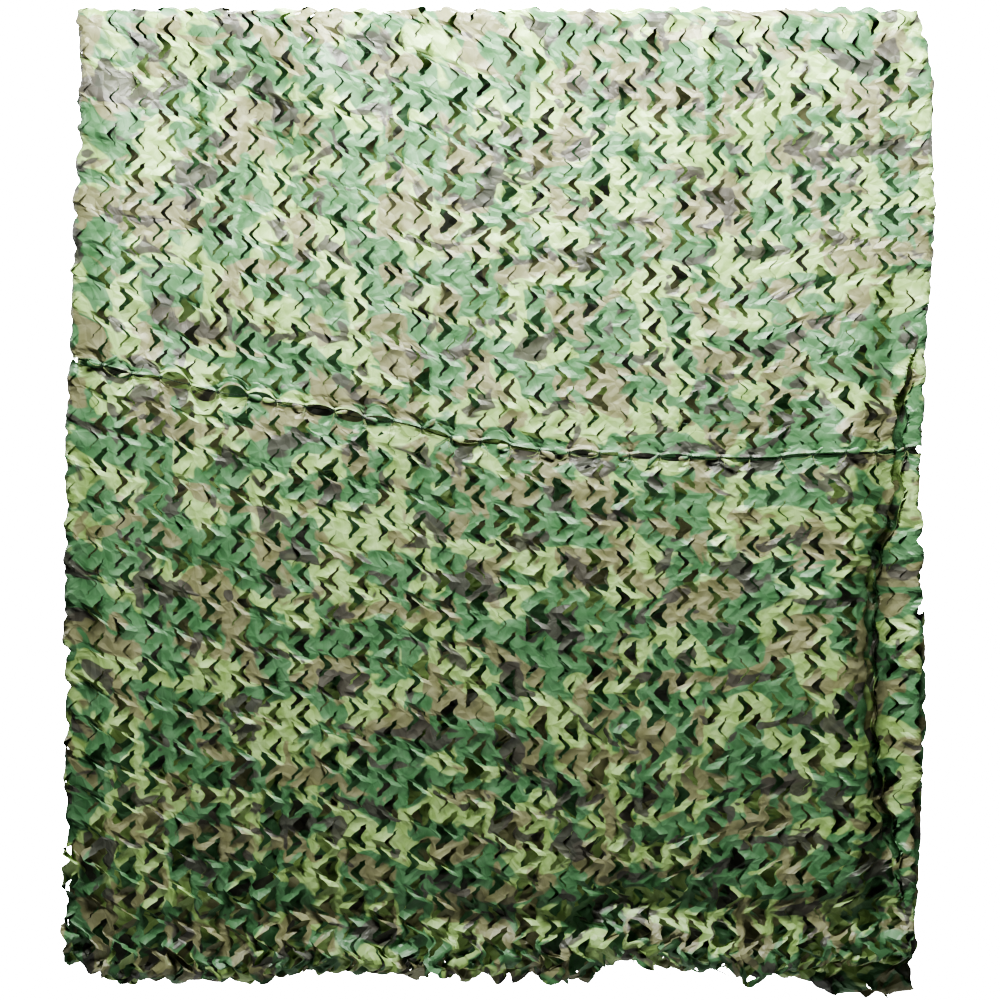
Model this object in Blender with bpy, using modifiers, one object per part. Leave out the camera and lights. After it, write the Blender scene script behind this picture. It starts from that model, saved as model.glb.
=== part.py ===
"""Camouflage net: widths of slit cloth, laced edge to edge, folded and hung from the top edge.

Metres, +Z up, the front facing -Y. The origin is at the middle of the top edge, where the net
hangs. Each width of cloth is one sheet: a grid whose columns follow the zigzag cuts, cut open
along the slits, laid along the section of the hanging folds and given its thickness.
"""
import math
import random
from collections import namedtuple

import bmesh
import bpy
import numpy as np

CLOTH = 0.002                # thickness of a sheet
BANDS = 30                   # zigzag bands across the net, at twice the pitch of the real cut
COLUMNS = 2 * BANDS          # half bands, which the laced edges use
SWING = 0.018                # how far a cut swings to each side of its middle line
SLIT = 0.35                  # half the length of a slit, as a share of its zigzag
LIFT = 0.016                 # how far the bands stand forward at a slit
SINK = 0.009                 # how far the tongues bend back at a slit
GAPE = 0.013                 # width of an open slit at its middle
RIPPLE = 0.012               # relief of the fine bands where the cloth is left uncut
COARSE_RIPPLE = 0.015        # relief of the bands twice as wide at the back and inside
WAVER = 0.0025               # how far a point strays along, across and out of the even pattern
UNCUT_LEFT = 3               # zigzag curves at the left edge that keep no slit
UNCUT_RIGHT = 4              # and at the right edge

TOP_RADIUS = 0.020           # bend over the hanging line
FOLD_RADIUS = 0.018          # bends at the foot
LEG = 0.062                  # distance of an outer layer from the middle, once it hangs free
FREE_DROP = 0.80             # drop over which the outer layers spread to that distance
CLOTH_WIDTH = 1.60           # width that the cloth was woven to, from edge to edge
TAKE_UP = 0.125              # share of that width that the relief takes up once the net hangs
PANEL = CLOTH_WIDTH * (1.0 - TAKE_UP)
SEAM_SLACK = 0.024           # cloth between a seam and its first row of slits
SCALLOP = 0.007              # how far a laced edge bows away from its cord between knots

UPPER_REPEATS = 6            # zigzags from the front seam up to the top edge
LOWER_REPEATS = 8            # zigzags from the front seam down to the foot
BACK_ROWS = 13               # rows of relief down each half of the back
BEND_ROWS = 5                # rows round the top edge and round each foot
INNER_ROWS = 10              # rows of relief up the inner leg behind the front
HIDDEN_ROWS = 7              # rows up the hidden inner leg
INNER_STEP = 0.030           # from a foot to the first row inside
Cut = namedtuple("Cut", "first last")
UPPER_CUT = Cut(0.5, 4.0)    # zigzags, counted from the seam, that are cut through
LOWER_CUT = Cut(0.5, 6.0)

CORD = 0.0011                # radius of the lacing cord
KNOT = 0.0034                # radius of a knot in it
KNOT_HALF = 0.0055           # half the length of a knot
CORD_RESOLUTION = 1          # six sides
EDGE_GAP = 0.0007            # from a knot to the middle of the tilted cloth edge that it gathers

Outline = namedtuple("Outline", "drop left right")
FRONT_SIDES = (
    Outline(0.00, -0.686, 0.654),
    Outline(0.12, -0.676, 0.668),
    Outline(0.40, -0.680, 0.672),
    Outline(0.58, -0.680, 0.664),
    Outline(0.72, -0.684, 0.640),
    Outline(0.82, -0.688, 0.640),
    Outline(0.92, -0.688, 0.594),
    Outline(1.00, -0.690, 0.574),
    Outline(1.10, -0.688, 0.590),
    Outline(1.22, -0.684, 0.656),
    Outline(1.36, -0.684, 0.656),
    Outline(1.60, -0.690, 0.640),
)
BACK_SIDES = (
    Outline(0.00, -0.686, 0.654),
    Outline(0.12, -0.676, 0.668),
    Outline(0.40, -0.674, 0.676),
    Outline(0.80, -0.680, 0.668),
    Outline(1.10, -0.680, 0.672),
    Outline(1.40, -0.680, 0.660),
    Outline(1.60, -0.690, 0.640),
)

Level = namedtuple("Level", "across drop")
FRONT_SEAM = (
    Level(-0.690, 0.560),
    Level(-0.560, 0.590),
    Level(-0.440, 0.616),
    Level(-0.320, 0.638),
    Level(-0.200, 0.660),
    Level(-0.060, 0.694),
    Level(0.080, 0.712),
    Level(0.220, 0.718),
    Level(0.360, 0.720),
    Level(0.480, 0.712),
    Level(0.690, 0.704),
)
FRONT_FOOT = (
    Level(-0.690, 1.522),
    Level(-0.620, 1.534),
    Level(-0.560, 1.548),
    Level(-0.420, 1.550),
    Level(-0.320, 1.538),
    Level(-0.040, 1.540),
    Level(0.100, 1.546),
    Level(0.180, 1.524),
    Level(0.250, 1.528),
    Level(0.400, 1.544),
    Level(0.500, 1.528),
    Level(0.690, 1.520),
)
BACK_FOOT = (
    Level(-0.690, 1.526),
    Level(-0.600, 1.564),
    Level(-0.500, 1.560),
    Level(-0.300, 1.540),
    Level(0.300, 1.540),
    Level(0.450, 1.544),
    Level(0.560, 1.576),
    Level(0.640, 1.572),
    Level(0.690, 1.548),
)

Crease = namedtuple("Crease", "across lean start end half_width depth")
CREASES = (
    Crease(-0.300, 0.020, 0.00, 0.22, 0.040, -0.014),
    Crease(-0.390, -0.030, 0.06, 0.34, 0.040, 0.010),
    Crease(0.330, 0.015, 0.00, 0.26, 0.040, -0.014),
    Crease(-0.520, 0.060, 0.00, 0.60, 0.055, 0.012),
    Crease(-0.630, 0.000, 0.10, 1.50, 0.050, -0.014),
    Crease(-0.180, 0.080, 0.75, 1.55, 0.080, 0.010),
    Crease(0.140, -0.060, 0.72, 1.50, 0.070, -0.012),
    Crease(0.430, 0.050, 0.20, 0.90, 0.070, 0.010),
    Crease(0.545, 0.020, 0.66, 1.44, 0.034, -0.026),
    Crease(0.632, -0.010, 0.45, 1.50, 0.026, 0.020),
)
CREASE_FADE = 0.12           # drop over which a crease begins and ends

CLOTH_COLOUR = (0.28, 0.40, 0.20, 1.0)
BACK_COLOUR = (0.16, 0.24, 0.11, 1.0)
CORD_COLOUR = (0.10, 0.22, 0.09, 1.0)
CLOTH_ROUGHNESS = 0.62
CORD_ROUGHNESS = 0.80

# One row of the grid: its path length from the top edge at each column, the columns it keeps
# (every one, every second ...), its step in the zigzag, four to a repeat, and its form: "slit"
# is cut through, "raised" has the relief without the cuts, and "smooth" only follows the swing.
Row = namedtuple("Row", "path keep step form")


def share_across(table, drop, share):
    """Place across the net at a drop, for a share of the width from the left edge."""
    drops = [row.drop for row in table]
    left = np.interp(drop, drops, [row.left for row in table])
    right = np.interp(drop, drops, [row.right for row in table])
    return left + share * (right - left)


def level_at(table, across):
    """Drop that a seam or a foot has at a place across the net, eased between its points."""
    places = [row.across for row in table]
    at = int(np.clip(np.searchsorted(places, across) - 1, 0, len(table) - 2))
    low, high = table[at], table[at + 1]
    share = min(max((across - low.across) / (high.across - low.across), 0.0), 1.0)
    eased = share * share * (3.0 - 2.0 * share)
    return low.drop + eased * (high.drop - low.drop)


def eased_step(value):
    """Zero below 0, one above 1, and smooth between."""
    value = min(max(value, 0.0), 1.0)
    return value * value * (3.0 - 2.0 * value)


def draped(across, drop):
    """Depth of the soft creases that run through the layers; positive is towards the back."""
    depth = 0.0
    for crease in CREASES:
        middle = crease.across + crease.lean * (drop - crease.start)
        aside = (across - middle) / crease.half_width
        begins = eased_step((drop - crease.start + CREASE_FADE / 2) / CREASE_FADE)
        ends = eased_step((crease.end + CREASE_FADE / 2 - drop) / CREASE_FADE)
        depth += crease.depth * math.exp(-aside * aside) * begins * ends
    return depth * eased_step(drop / CREASE_FADE)


QUARTER = TOP_RADIUS * math.pi / 2
HALF_FOLD = FOLD_RADIUS * math.pi


def leg_end(foot_drop):
    """Path length from the top edge down to where the foot begins to turn."""
    return foot_drop - TOP_RADIUS - FOLD_RADIUS - LIFT + QUARTER


def section_point(path, foot_drop, outward):
    """Depth from the middle and drop of a layer at a path length, for one half of the section."""
    down = leg_end(foot_drop)
    if path < QUARTER:
        angle = path / TOP_RADIUS
        reach = TOP_RADIUS + outward
        return math.sin(angle) * reach, TOP_RADIUS - math.cos(angle) * reach
    if path < down:
        fallen = path - QUARTER
        spread = (LEG - TOP_RADIUS) * eased_step(fallen / FREE_DROP)
        return TOP_RADIUS + spread + outward, TOP_RADIUS + fallen
    floor = TOP_RADIUS + down - QUARTER
    if path < down + HALF_FOLD:
        angle = (path - down) / FOLD_RADIUS
        reach = FOLD_RADIUS + outward
        return LEG - FOLD_RADIUS + math.cos(angle) * reach, floor + math.sin(angle) * reach
    return LEG - 2 * FOLD_RADIUS - outward, floor - (path - down - HALF_FOLD)


def hang(share, path, outward, aside=0.0):
    """World point of the cloth: share is its place across, path is measured from the top edge."""
    front = path >= 0.0
    foot = FRONT_FOOT if front else BACK_FOOT
    foot_drop = level_at(foot, share_across(FRONT_SIDES, foot[0].drop, share))
    depth, drop = section_point(abs(path), foot_drop, outward)
    outer = front and path < leg_end(foot_drop) + HALF_FOLD / 2
    across = share_across(FRONT_SIDES if outer else BACK_SIDES, drop, share) + aside
    facing = -1.0 if front else 1.0
    return across, facing * depth + draped(across, drop), -drop


def zigzag(phase):
    """Swing of a cut at a place in its repeat: +1 at whole numbers, -1 at the halves."""
    return 4.0 * abs(phase - math.floor(phase) - 0.5) - 1.0


def slit_phase(step, curve):
    """Place in the zigzag of a slit row: rows fall on slit ends and middles of odd or even curves."""
    even = curve % 2 == 0
    offsets = (0.0, SLIT if even else 0.5 - SLIT, 0.5, 1.0 - SLIT if even else 0.5 + SLIT)
    return step // 4 + offsets[step % 4]


def seam_path(share):
    """Path length from the top edge to the front seam."""
    across = share_across(FRONT_SIDES, FRONT_SEAM[0].drop, share)
    return level_at(FRONT_SEAM, across) - TOP_RADIUS + QUARTER


def back_seam_path(share):
    """The back seam, its path length negative: the upper panel is one width of cloth."""
    return seam_path(share) - PANEL


def foot_path(share):
    """Path length to where the front foot begins to turn."""
    return leg_end(level_at(FRONT_FOOT, share_across(FRONT_SIDES, FRONT_FOOT[0].drop, share)))


def back_foot_path(share):
    """Path length, negative, to where the back foot begins to turn."""
    return -leg_end(level_at(BACK_FOOT, share_across(FRONT_SIDES, BACK_FOOT[0].drop, share)))


def edge_row(seam, away, keep):
    """A laced edge: it nearly meets the knots, and every odd column bows away between them."""
    def path(share, column):
        bow = SCALLOP if column % 2 else 0.0
        return seam(share) + away * (KNOT + EDGE_GAP + bow)
    return Row(path, keep, 0, "smooth")


def slit_rows(start, end, repeats, cut):
    """Rows of a slit field, four for each zigzag, spaced evenly from start to end."""
    rows = []
    for step in range(4 * repeats + 1):
        def path(share, column, step=step):
            along = slit_phase(step, column // 2) / repeats
            return start(share) + along * (end(share) - start(share))
        form = "slit" if cut.first <= step / 4 <= cut.last else "raised"
        rows.append(Row(path, 2, step, form))
    return rows


def plain_rows(start, end, count, keep, form):
    """Rows without slits, spaced evenly from start to end; raised ones are half a zigzag apart."""
    rows = []
    for step in range(count):
        def path(share, column, step=step):
            along = step / (count - 1)
            return start(share) + along * (end(share) - start(share))
        rows.append(Row(path, keep, 2 * step if form == "raised" else 0, form))
    return rows


def bend_rows(start, end, base=None):
    """Rows round a bend, close enough together to show it round."""
    def from_base(extra):
        return lambda share: extra + (base(share) if base else 0.0)
    return plain_rows(from_base(start), from_base(end), BEND_ROWS, 4, "smooth")


def grid_of(rows):
    """A flat grid, a column for each half band and a line for each row, thinned where it is plain."""
    mesh = bmesh.new()
    bmesh.ops.create_grid(mesh, x_segments=COLUMNS, y_segments=len(rows) - 1, size=0.5)
    for vert in mesh.verts:
        vert.co = (round((vert.co.x + 0.5) * COLUMNS), round((vert.co.y + 0.5) * (len(rows) - 1)), 0)
    place = {(int(v.co.x), int(v.co.y)): v for v in mesh.verts}
    merged = {}
    for (column, line), vert in place.items():
        kept = column - column % rows[line].keep
        if kept != column:
            merged[vert] = place[kept, line]
    bmesh.ops.weld_verts(mesh, targetmap=merged)
    return mesh


def is_middle(row, curve):
    """True at the right swings of even curves and the left swings of odd ones."""
    return row.step % 4 == (0 if curve % 2 == 0 else 2)


def is_slit_middle(row, curve):
    """True where a slit has its middle."""
    inside = UNCUT_LEFT <= curve <= BANDS - UNCUT_RIGHT
    return inside and row.form == "slit" and is_middle(row, curve)


def cut_slits(mesh, rows):
    """Open the cloth along every slit: two edges above and below its middle."""
    slit_edges = []
    for vert in mesh.verts:
        column, line = int(vert.co.x), int(vert.co.y)
        if column % 2 or not is_slit_middle(rows[line], column // 2):
            continue
        for edge in vert.link_edges:
            if abs(edge.other_vert(vert).co.x - vert.co.x) < 0.5:
                slit_edges.append(edge)
    bmesh.ops.split_edges(mesh, edges=slit_edges)


def relief(vert, row, curve):
    """Outward lift and sideways shift of a point: bands forward, tongues back, slits gaping."""
    if row.form == "smooth":
        return 0.0, 0.0
    if not is_slit_middle(row, curve):
        ripple = RIPPLE if row.keep == 2 else COARSE_RIPPLE
        return (ripple if is_middle(row, curve) else -ripple / 2), 0.0
    beside = sum(face.calc_center_median().x for face in vert.link_faces) / len(vert.link_faces)
    on_right = beside > vert.co.x
    on_band = on_right == (curve % 2 == 0)
    return (LIFT if on_band else -SINK), (GAPE / 2 if on_right else -GAPE / 2)


def sheet(name, rows, material, collection):
    """One width of cloth from its rows, as an open surface with Solidify."""
    mesh = grid_of(rows)
    cut_slits(mesh, rows)
    chance = random.Random(name)
    placed = {}
    for vert in mesh.verts:
        column, line = int(vert.co.x), int(vert.co.y)
        row = rows[line]
        curve = column // max(row.keep, 2)
        waver = 0.0 if row.form == "smooth" else WAVER
        stray = [chance.uniform(-waver, waver) for _ in range(3)]
        outward, aside = relief(vert, row, curve)
        aside += SWING * zigzag(slit_phase(row.step, curve)) + stray[0]
        share = column / COLUMNS
        placed[vert] = hang(share, row.path(share, column) + stray[1], outward + stray[2], aside)
    for vert, point in placed.items():
        vert.co = point
    bmesh.ops.triangulate(mesh, faces=mesh.faces[:])
    data = bpy.data.meshes.new(name)
    mesh.to_mesh(data)
    mesh.free()
    obj = bpy.data.objects.new(name, data)
    obj.data.materials.append(material)
    collection.objects.link(obj)
    thick = obj.modifiers.new("Cloth thickness", "SOLIDIFY")
    thick.thickness = CLOTH
    thick.offset = 0.0
    return obj


def cloth_material(name, colour, roughness):
    """A plain dyed finish for one kind of piece."""
    material = bpy.data.materials.new(name)
    material.use_nodes = True
    shader = material.node_tree.nodes["Principled BSDF"]
    shader.inputs["Base Color"].default_value = colour
    shader.inputs["Roughness"].default_value = roughness
    return material


def lacing(name, seam, material, collection):
    """The cord along a seam, thin between its knots and thick at each of them."""
    stations = []
    for band in range(BANDS + 1):
        for along, radius in ((-KNOT_HALF, CORD), (0.0, KNOT), (KNOT_HALF, CORD)):
            stations.append((band / BANDS, along, radius))
    curve = bpy.data.curves.new(name, "CURVE")
    curve.dimensions = "3D"
    curve.bevel_depth = 1.0
    curve.bevel_resolution = CORD_RESOLUTION
    curve.use_fill_caps = True
    spline = curve.splines.new("POLY")
    spline.points.add(len(stations) - 1)
    for point, (share, along, radius) in zip(spline.points, stations):
        point.co = (*hang(share, seam(share), 0.0, SWING + along), 1.0)
        point.radius = radius
    obj = bpy.data.objects.new(name, curve)
    obj.data.materials.append(material)
    collection.objects.link(obj)
    return obj


def upper_panel(material, collection):
    """From the front seam up over the hanging line and down the back to the back seam."""
    def first_slits(share):
        return seam_path(share) - SEAM_SLACK

    def last_slits(share):
        return 2 * QUARTER

    def back_start(share):
        return -2 * QUARTER

    def back_end(share):
        return back_seam_path(share) + SEAM_SLACK

    rows = [edge_row(seam_path, -1, 1)]
    rows += slit_rows(first_slits, last_slits, UPPER_REPEATS, UPPER_CUT)
    rows += bend_rows(QUARTER, -QUARTER)
    rows += plain_rows(back_start, back_end, BACK_ROWS, 4, "raised")
    rows += [edge_row(back_seam_path, 1, 2)]
    return sheet("panel_upper", rows, material, collection)


def lower_panel(material, collection):
    """From the front seam down to the front foot and up again inside."""
    def first_slits(share):
        return seam_path(share) + SEAM_SLACK

    def last_slits(share):
        return foot_path(share) - SEAM_SLACK

    def inner_start(share):
        return foot_path(share) + HALF_FOLD + INNER_STEP

    def inner_end(share):
        return seam_path(share) + PANEL

    rows = [edge_row(seam_path, 1, 1)]
    rows += slit_rows(first_slits, last_slits, LOWER_REPEATS, LOWER_CUT)
    rows += bend_rows(0.0, HALF_FOLD, foot_path)
    rows += plain_rows(inner_start, inner_end, INNER_ROWS, 4, "raised")
    return sheet("panel_lower", rows, material, collection)


def back_panel(material, collection):
    """From the back seam down to the back foot and up again inside."""
    def first_row(share):
        return back_seam_path(share) - SEAM_SLACK

    def last_row(share):
        return back_foot_path(share) + SEAM_SLACK

    def inner_start(share):
        return back_foot_path(share) - HALF_FOLD - INNER_STEP

    def inner_end(share):
        return back_seam_path(share) - PANEL

    rows = [edge_row(back_seam_path, -1, 2)]
    rows += plain_rows(first_row, last_row, BACK_ROWS, 4, "raised")
    rows += bend_rows(0.0, -HALF_FOLD, back_foot_path)
    rows += plain_rows(inner_start, inner_end, HIDDEN_ROWS, 4, "smooth")
    return sheet("panel_back", rows, material, collection)


def main():
    """Build every piece of the net."""
    for obj in list(bpy.data.objects):
        bpy.data.objects.remove(obj, do_unlink=True)
    collection = bpy.data.collections.new("camouflage_net")
    bpy.context.scene.collection.children.link(collection)
    face = cloth_material("slit cloth", CLOTH_COLOUR, CLOTH_ROUGHNESS)
    back = cloth_material("slit cloth at the back", BACK_COLOUR, CLOTH_ROUGHNESS)
    cord = cloth_material("lacing cord", CORD_COLOUR, CORD_ROUGHNESS)
    upper_panel(face, collection)
    lower_panel(face, collection)
    back_panel(back, collection)
    lacing("lacing_front", seam_path, cord, collection)
    lacing("lacing_back", back_seam_path, cord, collection)


main()
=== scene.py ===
# %% [markdown]
# # A camouflage net of slit cloth, folded and hung
# The net is printed polyester cloth. A die cuts it full of short zigzag slits, and a pull across
# the cloth opens them: every second band of cloth stands forward and the tongues between bend
# back. Widths of this cloth are laced edge to edge, and here the net hangs folded over a line.
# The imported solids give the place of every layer. A solid needs two faces and a rim for every
# slit, so each width is made anew here as one open sheet that follows its solid.

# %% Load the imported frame
import math

import bpy
import numpy as np
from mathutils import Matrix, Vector


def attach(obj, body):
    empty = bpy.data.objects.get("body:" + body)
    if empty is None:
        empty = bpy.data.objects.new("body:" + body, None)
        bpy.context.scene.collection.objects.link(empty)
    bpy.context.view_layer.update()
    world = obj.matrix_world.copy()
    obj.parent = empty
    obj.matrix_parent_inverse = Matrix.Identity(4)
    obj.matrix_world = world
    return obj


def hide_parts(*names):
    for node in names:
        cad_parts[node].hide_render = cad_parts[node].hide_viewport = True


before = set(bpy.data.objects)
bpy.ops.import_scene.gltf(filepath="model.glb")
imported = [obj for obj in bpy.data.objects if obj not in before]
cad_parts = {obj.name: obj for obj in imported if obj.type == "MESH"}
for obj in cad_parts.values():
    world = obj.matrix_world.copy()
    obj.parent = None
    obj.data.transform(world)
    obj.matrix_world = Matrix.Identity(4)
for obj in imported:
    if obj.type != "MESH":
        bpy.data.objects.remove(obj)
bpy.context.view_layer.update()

print("packed nodes:", sorted(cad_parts))

# %% [markdown]
# ## The camera
# A net 1.6 m tall can be seen from close by with a wide lens, or from far off with a long one.
# The long lens keeps its edges straight and lets the slits look alike all over. Its length
# follows from the width of the view and the distance.

# %% Place the camera
VIEW_WIDTH = 1.6             # metres across the view, at the face of the net
EYE_DISTANCE = 5.0           # from the lens to that face
FACE_DEPTH = -0.06
EYE_LEVEL = -0.787
SENSOR = 36.0                # millimetres

lens = bpy.data.cameras.new("camera")
lens.sensor_width = SENSOR
lens.lens = SENSOR * EYE_DISTANCE / VIEW_WIDTH
camera = bpy.data.objects.new("camera", lens)
camera.location = (0.0, FACE_DEPTH - EYE_DISTANCE, EYE_LEVEL)
camera.rotation_euler = (math.pi / 2, 0.0, 0.0)
bpy.context.scene.collection.objects.link(camera)
bpy.context.scene.camera = camera
print(f"lens {lens.lens:.1f} mm at {EYE_DISTANCE} m")

# %% [markdown]
# ## How the net hangs
# The same few tables that shape the solids place every point of the fine cloth: where its sides
# run, how the front seam sags, how low each fold hangs, and the soft creases that run through
# all the layers. A mesh could be sculpted instead, but short tables of real sizes are easier to
# read and to change, and they keep the cloth on its solids.

# %% Sizes of the hanging folds
TOP_RADIUS = 0.020           # of the fold over the line
FOLD_RADIUS = 0.018          # and of the bend at each foot
LEG = 0.062                  # from the middle of the net out to a leg at its lowest
FREE_DROP = 0.80             # in which the two legs draw apart
LIFT = 0.003                 # by which the sheet stays above the line of its foot
TOP_RISE = 0.006             # of the cloth above the top of its solid
HUNG_LENGTH = 1.40           # of each width of cloth, from edge to edge
REPEATS = 24                 # of its zigzags
QUARTER = TOP_RADIUS * math.pi / 2     # path from the top edge to the start of a leg
HALF_FOLD = FOLD_RADIUS * math.pi      # path round a foot
print(f"each width hangs {HUNG_LENGTH:.2f} m long, in {REPEATS} repeats")

# %% Lines of the two sides
# drop, left side, right side
FRONT_SIDES = np.array((
    (0.00, -0.670, 0.662), (0.10, -0.664, 0.690), (0.32, -0.674, 0.688), (0.50, -0.680, 0.680),
    (0.64, -0.684, 0.636), (0.80, -0.686, 0.630), (0.88, -0.686, 0.592), (0.96, -0.688, 0.586),
    (1.14, -0.686, 0.584), (1.24, -0.684, 0.594), (1.46, -0.686, 0.654), (1.60, -0.690, 0.652),
))
BACK_SIDES = np.array((
    (0.00, -0.670, 0.662), (0.10, -0.668, 0.688), (0.40, -0.674, 0.686), (0.80, -0.680, 0.672),
    (1.10, -0.680, 0.676), (1.40, -0.680, 0.664), (1.60, -0.690, 0.654),
))
print(f"the front is {np.ptp(FRONT_SIDES[0, 1:]):.2f} m wide at its top")

# %% Lines of the front seam and of both feet
# place across, drop
FRONT_SEAM = np.array((
    (-0.690, 0.560), (-0.560, 0.590), (-0.440, 0.616), (-0.320, 0.638), (-0.200, 0.660),
    (-0.060, 0.694), (0.080, 0.712), (0.220, 0.718), (0.360, 0.720), (0.480, 0.712),
    (0.690, 0.704),
))
FRONT_FOOT = np.array((
    (-0.690, 1.524), (-0.640, 1.536), (-0.590, 1.560), (-0.500, 1.556), (-0.416, 1.564),
    (-0.320, 1.544), (-0.200, 1.544), (-0.110, 1.552), (0.040, 1.546), (0.110, 1.560),
    (0.170, 1.524), (0.250, 1.530), (0.330, 1.546), (0.400, 1.556), (0.500, 1.540),
    (0.690, 1.528),
))
BACK_FOOT = np.array((
    (-0.690, 1.530), (-0.600, 1.572), (-0.500, 1.568), (-0.410, 1.574), (-0.310, 1.556),
    (-0.100, 1.562), (0.090, 1.566), (0.170, 1.538), (0.300, 1.552), (0.440, 1.562),
    (0.520, 1.590), (0.590, 1.598), (0.650, 1.578), (0.690, 1.550),
))
print(f"the net hangs {BACK_FOOT[:, 1].max():.2f} m")

# %% Lines of the soft creases
CREASE_FADE = 0.12           # length in which a crease comes and goes
# place across, lean, first drop, last drop, half width, depth
CREASES = (
    (-0.300, 0.020, 0.00, 0.22, 0.034, -0.018),
    (-0.390, -0.030, 0.06, 0.34, 0.040, 0.010),
    (0.330, 0.015, 0.00, 0.26, 0.034, -0.018),
    (-0.520, 0.060, 0.00, 0.60, 0.055, 0.012),
    (-0.630, 0.000, 0.10, 1.50, 0.050, -0.014),
    (-0.180, 0.080, 0.75, 1.55, 0.080, 0.010),
    (0.140, -0.060, 0.72, 1.50, 0.070, -0.012),
    (0.430, 0.050, 0.20, 0.90, 0.070, 0.010),
    (0.545, 0.020, 0.66, 1.44, 0.034, -0.026),
    (0.632, -0.010, 0.45, 1.50, 0.026, 0.020),
    (-0.496, 0.040, 0.00, 0.24, 0.009, 0.011),
    (-0.370, -0.160, 0.00, 0.36, 0.010, 0.010),
    (0.060, -0.140, 0.10, 0.50, 0.016, 0.010),
    (0.200, 0.060, 0.00, 0.30, 0.010, 0.010),
    (-0.165, -0.050, 0.00, 0.14, 0.009, 0.009),
    (0.344, 0.030, 0.00, 0.20, 0.008, 0.010),
)
deepest = max(abs(crease[5]) for crease in CREASES)
print(f"{len(CREASES)} soft creases, the deepest {deepest:.3f} m")

# %% [markdown]
# A point of the cloth is known by three numbers: its share of the width from the left edge, its
# path length from the top edge, and how far it stands out from the sheet. Bending a flat mesh
# with modifiers could fold it too, but a few formulas keep the path length true. The section
# turns path and relief into a depth and a drop: over the line, down a leg, round the foot and
# up inside.

# %% Read a place off the tables
def eased(value):
    """Zero below 0, one above 1, and smooth between."""
    value = np.clip(value, 0.0, 1.0)
    return value * value * (3.0 - 2.0 * value)


def side_line(table, column, drop):
    return np.interp(drop, table[:, 0], table[:, column])


def side_to_side(drop, share):
    """Place across the front that a share of the width has at a drop."""
    left = side_line(FRONT_SIDES, 1, drop)
    return left + share * (side_line(FRONT_SIDES, 2, drop) - left)


def drop_at(line, across):
    """Drop that a seam or a foot has at a place across the net."""
    at = np.clip(np.searchsorted(line[:, 0], across) - 1, 0, len(line) - 2)
    low, high = line[at], line[at + 1]
    step = eased((across - low[..., 0]) / (high[..., 0] - low[..., 0]))
    return low[..., 1] + step * (high[..., 1] - low[..., 1])


def foot_drop_at(share, front):
    at_front = drop_at(FRONT_FOOT, side_to_side(FRONT_FOOT[0, 1], share))
    at_back = drop_at(BACK_FOOT, side_to_side(BACK_FOOT[0, 1], share))
    return np.where(front, at_front, at_back)


def creased(across, drop):
    """Depth of the soft creases; positive is towards the back."""
    depth = np.zeros_like(across)
    for place, lean, first, last, half_width, deep in CREASES:
        aside = (across - place - lean * (drop - first)) / half_width
        begins = eased((drop - first + CREASE_FADE / 2) / CREASE_FADE)
        ends = eased((last + CREASE_FADE / 2 - drop) / CREASE_FADE)
        depth += deep * np.exp(-aside * aside) * begins * ends
    return depth * eased(drop / CREASE_FADE)


print(f"the middle of the seam hangs at {drop_at(FRONT_SEAM, np.zeros(1))[0]:.3f} m")

# %% Lay cloth along the section
def leg_end(foot_drop):
    """Path from the top edge to the end of a leg, where the bend of its foot begins."""
    return foot_drop - TOP_RADIUS - FOLD_RADIUS - LIFT + QUARTER


def section(path, foot_drop, outward):
    """Depth from the middle and drop, for one half of the section."""
    down = leg_end(foot_drop)
    floor = TOP_RADIUS + down - QUARTER
    over = np.minimum(path, QUARTER) / TOP_RADIUS
    fallen = path - QUARTER
    spread = (LEG - TOP_RADIUS) * eased(fallen / FREE_DROP)
    turn = (path - down) / FOLD_RADIUS
    parts = [path < QUARTER, path < down, path < down + HALF_FOLD]
    depth = np.select(parts, [
        np.sin(over) * (TOP_RADIUS + outward),
        TOP_RADIUS + spread + outward,
        LEG - FOLD_RADIUS + np.cos(turn) * (FOLD_RADIUS + outward),
    ], LEG - 2 * FOLD_RADIUS - outward)
    drop = np.select(parts, [
        TOP_RADIUS - np.cos(over) * (TOP_RADIUS + outward),
        TOP_RADIUS + fallen,
        floor + np.sin(turn) * (FOLD_RADIUS + outward),
    ], floor - (path - down - HALF_FOLD))
    return depth, drop


print(f"path down to the bend of a foot: {leg_end(FRONT_FOOT[:, 1].mean()):.3f} m")

# %% [markdown]
# On the right, below the seam, the front layer of the net runs in and out of one deep pleat,
# which shows as a dark furrow. It could be a shallow dent, but a dent never gets as dark as a
# real fold. The solid is only narrowed there. The fine cloth keeps its width, and the formula
# below leads it round the near lip, down into the pleat, back up and round the far lip.

# %% Fold the deep pleat
PLEAT_TURN = 0.006           # radius of the pleat's lips
PLEAT_DEEP = 0.024           # straight run down each of its walls
PLEAT_WIDE = 0.018           # of the furrow between them
PLEAT_FADE = 0.045           # narrowing of the solid at which the pleat is full
PLEAT_SPARE = 0.060          # extra cloth that the pleat takes up
PLEAT_WAVE = 0.004           # by which the furrow's line follows the zigzags
PLEAT_LEAST = 1e-4           # share of it that stays where there is none, as a divisor
SET_BACK = 0.014             # of the strip beyond the pleat
# drop, right side of the net with the pleat's far side counted in
FREE_RIGHT = np.array((
    (0.00, 0.662), (0.10, 0.690), (0.32, 0.688), (0.44, 0.682), (0.60, 0.674), (0.76, 0.664),
    (0.90, 0.668), (1.22, 0.666), (1.32, 0.658), (1.60, 0.652),
))


def narrowing(drop):
    return side_line(FREE_RIGHT, 1, drop) - side_line(FRONT_SIDES, 2, drop)


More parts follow.
